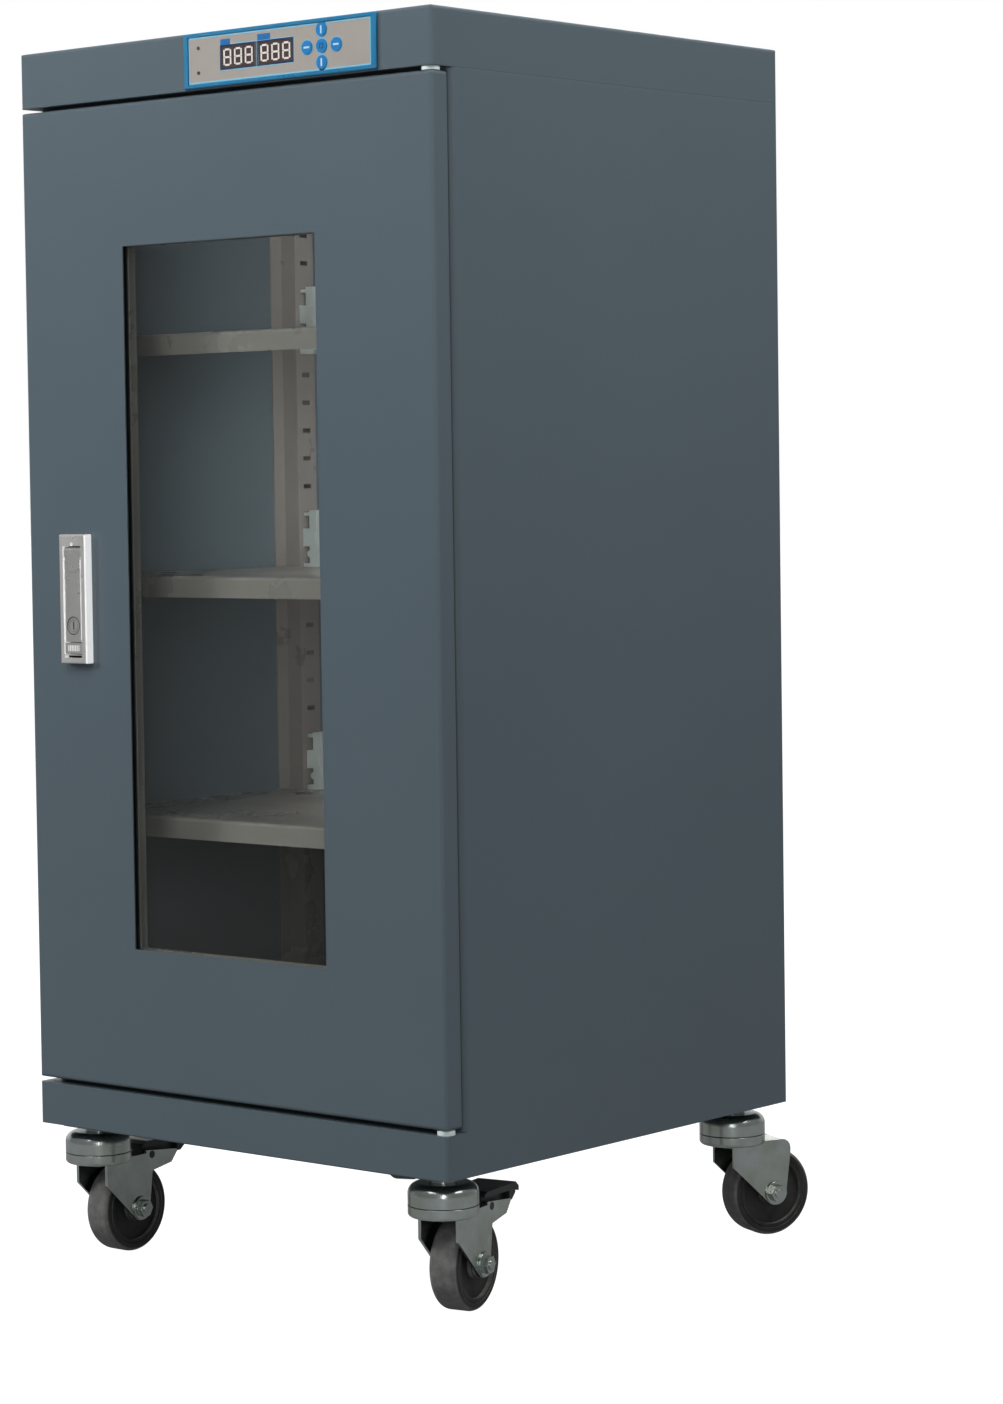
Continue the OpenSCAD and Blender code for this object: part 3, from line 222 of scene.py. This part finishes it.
DRAWN_UP = (1.0, 1.0, 0.12)
INK = {"edge": 0.0, "edge_r": 0.0001, "depth": 0.000002}
mats = {
    "slate_coat": finish(
        "slate_coat", linear(78, 91, 99), 0.42, specular=0.4, mottle=0.035, cloud=3.0,
        grain=800.0, depth=0.00004, edge_r=0.0012, edge=0.22),
    "inside_coat": finish(
        "inside_coat", linear(116, 115, 113), 0.3, specular=0.45, mottle=0.10, cloud=5.0,
        grain=700.0, depth=0.00004, edge=0.3, smudge=0.16),
    "zinc_plate": finish(
        "zinc_plate", linear(178, 187, 187), 0.24, metal=1.0, second=linear(152, 157, 148),
        mottle=0.10, cloud=38.0, grain=500.0, edge=0.5, wear_and_highlight=linear(215, 222, 226), smudge=0.16),
    "satin_chrome": finish(
        "satin_chrome", linear(188, 188, 186), 0.3, metal=0.6, second=linear(174, 174, 172),
        mottle=0.05, cloud=60.0, stretch=DRAWN_UP, grain=1500.0, depth=0.000004, edge=0.0,
        edge_r=0.0, smudge=0.10),
    # Escutcheon: its near-white edges and the white glow on its right-facing faces are painted highlights
    "escutcheon": finish(
        "escutcheon", linear(172, 172, 171), 0.3, metal=0.3, second=linear(184, 184, 183),
        mottle=0.04, cloud=60.0, stretch=DRAWN_UP, grain=1500.0, depth=0.000004, edge=1.0,
        edge_r=0.0006, wear_and_highlight=linear(252, 252, 252), side=linear(254, 254, 254)),
    "window_glass": glass_finish("window_glass"),
    "black_rubber": finish(
        "black_rubber", linear(24, 24, 25), 0.6, specular=0.3, mottle=0.15, edge=0.1),
    "black_plastic": finish(
        "black_plastic", linear(26, 28, 29), 0.42, specular=0.45, mottle=0.12, cloud=30.0,
        grain=1200.0, wear_and_highlight=linear(90, 96, 98)),
    "white_plastic": finish(
        "white_plastic", linear(214, 228, 228), 0.42, mottle=0.04, cloud=25.0, grain=1000.0,
        edge=0.2, wear_and_highlight=linear(236, 240, 238)),
    "board_green": finish(
        "board_green", linear(30, 92, 58), 0.35, mottle=0.15, cloud=80.0, grain=600.0),
    "panel_blue": finish(
        "panel_blue", linear(12, 108, 150), 0.3, cloud=40.0, grain=1500.0, depth=0.000003,
        edge=0.35, edge_r=0.0004, wear_and_highlight=linear(96, 176, 214), coat=0.1),
    "panel_grey": finish(
        "panel_grey", linear(150, 145, 139), 0.36, mottle=0.03, cloud=30.0, grain=1500.0,
        depth=0.000003, edge=0.05, edge_r=0.0003, coat=0.05),
    "key_blue": finish(
        "key_blue", linear(4, 110, 172), 0.3, mottle=0.08, cloud=150.0, grain=1500.0,
        depth=0.000003, edge=0.35, edge_r=0.0003, wear_and_highlight=linear(80, 170, 225), coat=0.1),
    "display_dark": finish(
        "display_dark", linear(66, 54, 52), 0.2, mottle=0.10, cloud=60.0, depth=0.000002,
        edge=0.0, coat=0.1, smudge=0.06),
    "digit_white": finish(
        "digit_white", linear(214, 207, 203), 0.4, mottle=0.03, cloud=200.0, glow=0.05, **INK),
    "halo_blue": finish(
        "halo_blue", linear(120, 178, 204), 0.34, mottle=0.05, cloud=150.0, **INK),
    "pale_print": finish(
        "pale_print", linear(170, 206, 224), 0.34, mottle=0.03, cloud=150.0, **INK),
    "navy_print": finish(
        "navy_print", linear(20, 44, 82), 0.3, mottle=0.08, cloud=150.0, **INK),
    "tab_blue": finish("tab_blue", linear(12, 96, 160), 0.3, cloud=150.0, **INK),
    # Painted shade: a near-black finish for sheets laid over slots, holes and gaps
    "painted_gap_shade": finish("painted_gap_shade", linear(22, 22, 23), 0.6, mottle=0.2, cloud=80.0, edge=0.05),
    # Painted highlight: near-white, barely metallic colour with a right-side glow for the lever rails and button
    # ribs
    "painted_highlight_chrome": finish(
        "painted_highlight_chrome", linear(250, 250, 250), 0.2, metal=0.1, mottle=0.02, cloud=60.0,
        edge=0.5, side=linear(254, 254, 254)),
    "bare_steel": finish(
        "bare_steel", linear(150, 150, 148), 0.3, metal=1.0, mottle=0.12, cloud=200.0),
}
axles = {j["child"]: Vector(j["axis"]).normalized()
         for j in frame["joints"] if j["name"].startswith("roll_")}
kingpins = {j["child"]: Vector(j["pos_m"])
            for j in frame["joints"] if j["name"].startswith("swivel_")}
for corner in CORNERS:
    mats["wheel_" + corner] = wheel_finish(
        "wheel_rubber_" + corner, axles["wheel_%s_body" % corner])

# A node takes the finish of its own name where there is one, and its slot's finish otherwise
for part in frame["record"]["subparts"]:
    node = nodes[part["node"]]
    made = mats.get(part["node"]) or mats[part["material_slot"]]
    if not node.data.materials:
        node.data.materials.append(made)
    for i in range(len(node.data.materials)):
        node.data.materials[i] = made


# Pieces in mesh code
BEVEL_SEGMENTS = 3
CORNER_STEPS, DISC_STEPS, RING_STEPS = 6, 48, 72


def show(name, bm, material, body, bevel=0.0):
    bmesh.ops.recalc_face_normals(bm, faces=bm.faces)
    mesh = bpy.data.meshes.new(name)
    bm.to_mesh(mesh)
    bm.free()
    mesh.materials.append(mats[material])
    obj = bpy.data.objects.new(name, mesh)
    bpy.context.scene.collection.objects.link(obj)
    if bevel:
        soft = obj.modifiers.new("soft_edges", "BEVEL")
        soft.width = bevel
        soft.segments = BEVEL_SEGMENTS
        soft.limit_method = "ANGLE"
    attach(obj, body)


def rounded(w, h, r):
    """Points of a rectangle with round corners, round its middle."""
    points = []
    for cx, cy, start in ((1, 1, 0), (-1, 1, 90), (-1, -1, 180), (1, -1, 270)):
        for i in range(CORNER_STEPS + 1):
            a = math.radians(start + 90 * i / CORNER_STEPS)
            points.append((cx * (w / 2 - r) + r * math.cos(a), cy * (h / 2 - r) + r * math.sin(a)))
    return points


def disc(r):
    turns = [2 * math.pi * i / DISC_STEPS for i in range(DISC_STEPS)]
    return [(r * math.cos(a), r * math.sin(a)) for a in turns]


def plate(bm, outline, thick, place, hole=None):
    """Adds a plate: the outline at two depths, with a hole of as many points where one is given."""
    loops = [[bm.verts.new(place(u, v, w)) for u, v in outline] for w in (0.0, thick)]
    n = len(outline)
    for i in range(n):
        bm.faces.new((loops[0][i], loops[0][(i + 1) % n], loops[1][(i + 1) % n], loops[1][i]))
    if hole is None:
        bm.faces.new(loops[0])
        bm.faces.new(loops[1])
        return
    inner = [[bm.verts.new(place(u, v, w)) for u, v in hole] for w in (0.0, thick)]
    for i in range(n):
        j = (i + 1) % n
        bm.faces.new((inner[0][i], inner[1][i], inner[1][j], inner[0][j]))
        for k in (0, 1):
            bm.faces.new((loops[k][i], loops[k][j], inner[k][j], inner[k][i]))


def in_front(x, y, z):
    """Plates on a surface that faces the front: u right, v up, depth out of the surface."""
    return lambda u, v, w: (x + u, y - w, z + v)


def lathe(bm, profile, origin, axis):
    """Adds the closed profile of (radius, height) points turned round the axis."""
    turn = Matrix.Translation(origin) @ UPWARDS.rotation_difference(axis).to_matrix().to_4x4()
    rings = []
    for k in range(RING_STEPS):
        a = 2 * math.pi * k / RING_STEPS
        rings.append([bm.verts.new(turn @ Vector((r * math.cos(a), r * math.sin(a), h)))
                      for r, h in profile])
    n = len(profile)
    for k in range(RING_STEPS):
        near, far = rings[k], rings[(k + 1) % RING_STEPS]
        for i in range(n):
            j = (i + 1) % n
            bm.faces.new((near[i], far[i], far[j], near[j]))


def show_plate(name, material, body, at, outline, thick, hole=None, bevel=0.0):
    """One plate on a surface that faces the front, at that place in metres."""
    bm = bmesh.new()
    plate(bm, outline, thick, in_front(*at), hole)
    show(name, bm, material, body, bevel)


def show_ring(name, material, body, slot, at, inner_r, outer_r, thick):
    """One flat ring on a surface that faces the front."""
    bm = bmesh.new()
    profile = [(inner_r, 0.0), (outer_r, 0.0), (outer_r, thick), (inner_r, thick)]
    lathe(bm, profile, Vector(at), TOWARDS_FRONT)
    show(name, bm, material, body)


def ends_and_middle(node):
    lo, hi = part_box(node)
    return lo, hi, (lo + hi) / 2


# Control panel
PRINT_T = 0.12 * MM
EDGE_STRIP = 1.3 * MM
EDGE_ROUND, EDGE_ROUND_IN = 0.6 * MM, 0.5 * MM
DISPLAY_GAP = 2.95 * MM
BORDER = 1.1 * MM
BORDER_ROUND, BORDER_ROUND_IN = 0.4 * MM, 0.2 * MM
HALO_OVER_W, HALO_OVER_H = 2.6 * MM, 3.4 * MM
HALO_ROUND, HALO_ROUND_IN = 0.6 * MM, 0.3 * MM
LAP = 0.1 * MM
# Left, right, bottom and top edge of each display's tab, in mm
TABS = ((7.2, 17.6, 997.4, 1002.1), (47.2, 61.0, 997.8, 1002.7))
TAB_ROUND = 0.4 * MM
KEY_HALO = 0.85 * MM
# Width and height of the stroke on each key, in mm
STROKES = {"up": (1.5, 6.4), "down": (1.5, 6.4), "left": (6.0, 1.5), "right": (6.0, 1.5)}
STROKE_ROUND = 0.7 * MM
SQUARE, SQUARE_IN = 4.2 * MM, 3.0 * MM
SQUARE_ROUND, SQUARE_ROUND_IN = 0.8 * MM, 0.5 * MM

face_lo, face_hi, face_mid = ends_and_middle("fascia_face")
face_y = face_lo.y
face_w, face_h = face_hi.x - face_lo.x, face_hi.z - face_lo.z
show_plate("panel_inner_edge", "halo_blue", "cabinet",
           (face_mid.x, face_y, face_mid.z), rounded(face_w, face_h, EDGE_ROUND), PRINT_T,
           rounded(face_w - 2 * EDGE_STRIP, face_h - 2 * EDGE_STRIP, EDGE_ROUND_IN))

window_lo, window_hi, window_mid = ends_and_middle("display_windows")
window_w = (window_hi.x - window_lo.x - DISPLAY_GAP) / 2
window_h = window_hi.z - window_lo.z
for i, x in enumerate((window_lo.x + window_w / 2, window_hi.x - window_w / 2)):
    border_w, border_h = window_w + 2 * BORDER, window_h + 2 * BORDER
    at = (x, face_y, window_mid.z)
    show_plate("display_border_%d" % (i + 1), "navy_print", "cabinet", at,
               rounded(border_w, border_h, BORDER_ROUND), PRINT_T,
               rounded(window_w, window_h, BORDER_ROUND_IN))
    show_plate("display_halo_%d" % (i + 1), "halo_blue", "cabinet", at,
               rounded(window_w + HALO_OVER_W, window_h + HALO_OVER_H, HALO_ROUND), PRINT_T / 2,
               rounded(border_w - LAP, border_h - LAP, HALO_ROUND_IN))
for i, (x0, x1, z0, z1) in enumerate(TABS):
    show_plate("display_tab_%d" % (i + 1), "tab_blue", "cabinet",
               ((x0 + x1) / 2 * MM, face_y, (z0 + z1) / 2 * MM),
               rounded((x1 - x0) * MM, (z1 - z0) * MM, TAB_ROUND), PRINT_T)
for side in ("up", "down", "left", "right", "centre"):
    lo, hi, mid = ends_and_middle("key_" + side)
    key_r = (hi.x - lo.x) / 2
    show_plate("key_halo_" + side, "halo_blue", "cabinet",
               (mid.x, face_y, mid.z), disc(key_r + KEY_HALO), PRINT_T, disc(key_r + LAP))
    if side == "centre":
        ink, hole = "navy_print", rounded(SQUARE_IN, SQUARE_IN, SQUARE_ROUND_IN)
        outline = rounded(SQUARE, SQUARE, SQUARE_ROUND)
    else:
        ink, hole = "pale_print", None
        outline = rounded(STROKES[side][0] * MM, STROKES[side][1] * MM, STROKE_ROUND)
    show_plate("key_mark_" + side, ink, "key_%s_cap" % side,
               (mid.x, lo.y, mid.z), outline, PRINT_T, hole)

# Door handle
RAIL_W, RAIL_T, RAIL_ROUND, RAIL_BEVEL = 0.7 * MM, 0.35 * MM, 0.3 * MM, 0.12 * MM
RAIL_BOTTOM, RAIL_TOP = 524.0 * MM, 590.0 * MM
RAIL_OFF = 9.4 * MM
SHOULDER = [(-9.0, 582.5), (-4.6, 580.0), (4.6, 580.0), (9.0, 582.5),
            (9.0, 588.5), (6.2, 596.0), (-6.2, 596.0), (-9.0, 588.5)]
SHOULDER_T, SHOULDER_BEVEL = 0.5 * MM, 0.45 * MM
# Dark sheets for the key slot, the gap round the key plug and the button's slot are painted shade
SLOT_W, SLOT_H, SLOT_ROUND = 1.1 * MM, 6.6 * MM, 0.4 * MM
SHADE_SHEET_T = 0.1 * MM
FACE_RING = (4.9 * MM, 5.3 * MM, 0.12 * MM)
GAP_SHADE_RING = (6.9 * MM, 7.5 * MM, 0.08 * MM)
RIB_W, RIB_H, RIB_ROUND = 0.9 * MM, 5.2 * MM, 0.4 * MM
RIB_T, RIB_PITCH, RIB_BEVEL = 0.3 * MM, 2.0 * MM, 0.1 * MM
RIBS_EACH_SIDE = 3
SHADE_W, SHADE_H, SHADE_ROUND = 17.6 * MM, 1.9 * MM, 0.3 * MM
SHADE_Y, SHADE_DROP = -242.4 * MM, 2.7 * MM

lever_lo, _, lever_mid = ends_and_middle("handle_lever")
for name, off in (("lever_rail_left", -RAIL_OFF), ("lever_rail_right", RAIL_OFF)):
    show_plate(name, "painted_highlight_chrome", "lever",
               (lever_mid.x + off, lever_lo.y, (RAIL_BOTTOM + RAIL_TOP) / 2),
               rounded(RAIL_W, RAIL_TOP - RAIL_BOTTOM, RAIL_ROUND), RAIL_T, bevel=RAIL_BEVEL)
show_plate("lever_shoulder", "satin_chrome", "lever",
           (lever_mid.x, lever_lo.y, 0.0), [(u * MM, v * MM) for u, v in SHOULDER], SHOULDER_T,
           bevel=SHOULDER_BEVEL)
key_lo, _, key_mid = ends_and_middle("key_plug")
key_face = (key_mid.x, key_lo.y, key_mid.z)
# Painted shade: a dark bar in the key slot and a dark ring in the gap round the key plug
show_plate("key_slot_shade", "painted_gap_shade", "key", key_face,
           rounded(SLOT_W, SLOT_H, SLOT_ROUND), SHADE_SHEET_T)
show_ring("key_face_ring", "bare_steel", "key", "satin_chrome", key_face, *FACE_RING)
show_ring("key_gap_shade_ring", "painted_gap_shade", "lever", "satin_chrome",
          (key_mid.x, lever_lo.y, key_mid.z), *GAP_SHADE_RING)
button_lo, _, button_mid = ends_and_middle("release_button")
bm = bmesh.new()
for i in range(-RIBS_EACH_SIDE, RIBS_EACH_SIDE + 1):
    plate(bm, rounded(RIB_W, RIB_H, RIB_ROUND), RIB_T,
          in_front(button_mid.x + i * RIB_PITCH, button_lo.y, button_mid.z))
show("button_ribs", bm, "painted_highlight_chrome", "release", bevel=RIB_BEVEL)
show_plate("button_slot_shade", "painted_gap_shade", "door",
           (button_mid.x, SHADE_Y, button_lo.z - SHADE_DROP),
           rounded(SHADE_W, SHADE_H, SHADE_ROUND), SHADE_SHEET_T)

# Deep tip under each brake pedal's plate: outline in mm, out from the kingpin and up, half width
PEDAL_TIPS = {
    "wide": ([(80.0, 78.8), (84.5, 78.8), (90.4, 83.4), (91.8, 89.2), (80.0, 89.2)], 15.4 * MM),
    "core": ([(58.0, 78.6), (74.0, 78.8), (80.4, 78.8), (80.4, 89.2), (58.0, 89.2)], 10.2 * MM),
}
PEDAL_BEVEL = 0.6 * MM


def across_caster(pin, across, half):
    """Plates in a caster's own frame: u out from the kingpin, v up, depth along the axle."""
    out = UPWARDS.cross(across)
    return lambda u, v, w: (pin.x + across.x * (w - half) + out.x * u,
                            pin.y + across.y * (w - half) + out.y * u, v)


for corner in CORNERS_IN_FRONT:
    pin, across = kingpins["caster_" + corner], axles["wheel_%s_body" % corner]
    for label, (outline, half) in PEDAL_TIPS.items():
        bm = bmesh.new()
        plate(bm, [(u * MM, v * MM) for u, v in outline], 2 * half,
              across_caster(pin, across, half))
        show("pedal_%s_%s" % (label, corner), bm, "black_plastic", "brake_" + corner,
             bevel=PEDAL_BEVEL)

# Floor: paper that the camera sees as white
FLOOR_HALF, FLOOR_CELLS = 30.0, 24
PAPER_NOISE = (3.0, 3.0)
GLOSSY_SHARE = 0.2

bm = bmesh.new()
bmesh.ops.create_grid(bm, x_segments=FLOOR_CELLS, y_segments=FLOOR_CELLS, size=FLOOR_HALF)
floor_mesh = bpy.data.meshes.new("floor")
bm.to_mesh(floor_mesh)
bm.free()
floor = bpy.data.objects.new("floor", floor_mesh)
bpy.context.scene.collection.objects.link(floor)
g = Surface("floor_paper")
place = g.add("TexCoord").outputs["Object"]
rays = g.add("LightPath").outputs
seen = g.math("MAXIMUM", rays["Is Camera Ray"], rays["Is Transmission Ray"])
mirrored_share = g.math("MULTIPLY", rays["Is Glossy Ray"], GLOSSY_SHARE)
paper = g.mix(g.noise(place, *PAPER_NOISE), linear(112, 113, 114), linear(118, 119, 120))
g.say(Base_Color=paper, Roughness=0.8, Specular_IOR_Level=0.1, Emission_Color=WHITE,
      Emission_Strength=g.math("MAXIMUM", seen, mirrored_share))
floor_mesh.materials.append(g.material)

# World: white to the camera, soft sky for diffuse light, a room darker to one side in mirrors
SKY, SKY_POWER = (0.96, 0.98, 1.0, 1.0), 0.26
BRIGHT_SIDE = (0.65, -0.76, 0.0)
ROOM_SPAN = (-0.85, -0.35)
ROOM_POWERS = (1.0, 0.36)

world = bpy.data.worlds.new("studio")
bpy.context.scene.world = world
world.use_nodes = True
world.node_tree.nodes.clear()
g = Graph(world.node_tree)
rays = g.add("LightPath").outputs
sky = g.add("Background", {"Color": SKY, "Strength": SKY_POWER}).outputs[0]
white = g.add("Background", {"Color": WHITE, "Strength": 1.0}).outputs[0]
toward = g.dot(g.add("TexCoord").outputs["Generated"], BRIGHT_SIDE)
room_power = g.spread(toward, *ROOM_SPAN, *ROOM_POWERS)
room = g.add("Background", {"Strength": room_power}).outputs[0]
seen = g.math("MAXIMUM", rays["Is Camera Ray"], rays["Is Transmission Ray"])
lit = g.mix_shaders(rays["Is Glossy Ray"], sky, room)
g.add("OutputWorld", {"Surface": g.mix_shaders(seen, lit, white)})

# Lamps: name, place, aim, width, height, power, whether mirrors show it
LAMPS = (
    ("key_front", (0.1, -1.4, 1.95), (0.0, -0.2, 0.9), 0.8, 0.8, 17.0, True),
    ("key_side", (1.5, 0.15, 1.95), (0.2, 0.0, 0.9), 0.8, 0.8, 20.0, True),
    ("key_low", (-2.2, -2.1, 1.7), (0.1, 0.0, 0.8), 0.7, 0.9, 55.0, False),
    ("edge_light", (2.3, -2.7, 0.95), (0.0, 0.0, 0.6), 0.3, 1.7, 16.0, True),
    ("overhead", (0.2, 0.2, 2.6), (0.0, 0.0, 0.5), 1.4, 1.4, 18.0, True),
    ("back_fill", (-1.6, 2.2, 1.7), (0.0, 0.0, 0.6), 1.0, 1.0, 26.0, True),
)
LAMP_COLOUR = (1.0, 0.99, 0.98)
FULL_SPREAD = 180.0
# Height and power of the small lamp over each shelf
SHELF_LAMPS = ((0.925, 0.8), (0.735, 0.9), (0.535, 0.35))
SHELF_LAMP_X, SHELF_LAMP_Y = 0.14, -0.16
SHELF_AIM_X, SHELF_AIM_Y, SHELF_AIM_DROP = -0.04, 0.16, 0.12
SHELF_LAMP_W, SHELF_LAMP_H, SHELF_SPREAD = 0.16, 0.02, 95.0


def softbox(name, place, aim, width, height, power, mirrored, spread=FULL_SPREAD):
    data = bpy.data.lights.new(name, "AREA")
    data.shape = "RECTANGLE"
    data.size = width
    data.size_y = height
    data.energy = power
    data.color = LAMP_COLOUR
    data.spread = math.radians(spread)
    lamp = bpy.data.objects.new(name, data)
    bpy.context.scene.collection.objects.link(lamp)
    lamp.location = place
    lamp.visible_camera = False
    lamp.visible_glossy = mirrored
    lamp.visible_transmission = mirrored
    lamp.rotation_euler = (Vector(aim) - Vector(place)).to_track_quat("-Z", "Y").to_euler()


for lamp in LAMPS:
    softbox(*lamp)
for i, (z, power) in enumerate(SHELF_LAMPS):
    softbox("shelf_light_%d" % (i + 1), (SHELF_LAMP_X, SHELF_LAMP_Y, z),
            (SHELF_AIM_X, SHELF_AIM_Y, z - SHELF_AIM_DROP), SHELF_LAMP_W, SHELF_LAMP_H, power,
            False, SHELF_SPREAD)

# Camera, fitted to the corners of the body in the photo
PHOTO_W, PHOTO_H = 1003.0, 1404.0
FOCAL_PX = 3673.6
CENTRE_PX = (413.2, 648.92)
AZIMUTH, ELEVATION, ROLL = 40.8191, 2.7143, -0.868
CAMERA_PLACE = Vector((2029.65, -2359.04, 655.9)) * MM
SENSOR_W = 36.0
CLIP_NEAR, CLIP_FAR = 0.05, 100.0

azimuth, elevation, roll = (math.radians(a) for a in (AZIMUTH, ELEVATION, ROLL))
back = Vector((math.sin(azimuth) * math.cos(elevation), -math.cos(azimuth) * math.cos(elevation),
               math.sin(elevation)))
right = UPWARDS.cross(back).normalized()
up = back.cross(right)
turned_right = math.cos(roll) * right + math.sin(roll) * up
turned_up = -math.sin(roll) * right + math.cos(roll) * up
lens = bpy.data.cameras.new("photo_camera")
camera = bpy.data.objects.new("photo_camera", lens)
bpy.context.scene.collection.objects.link(camera)
facing = Matrix((turned_right, turned_up, back)).transposed().to_4x4()
camera.matrix_world = Matrix.Translation(CAMERA_PLACE) @ facing
lens.sensor_width = SENSOR_W
lens.lens = FOCAL_PX / PHOTO_H * SENSOR_W
lens.shift_x = (PHOTO_W / 2 - CENTRE_PX[0]) / PHOTO_H
lens.shift_y = (CENTRE_PX[1] - PHOTO_H / 2) / PHOTO_H
lens.clip_start = CLIP_NEAR
lens.clip_end = CLIP_FAR
bpy.context.scene.camera = camera
bpy.context.scene.view_settings.view_transform = "Standard"
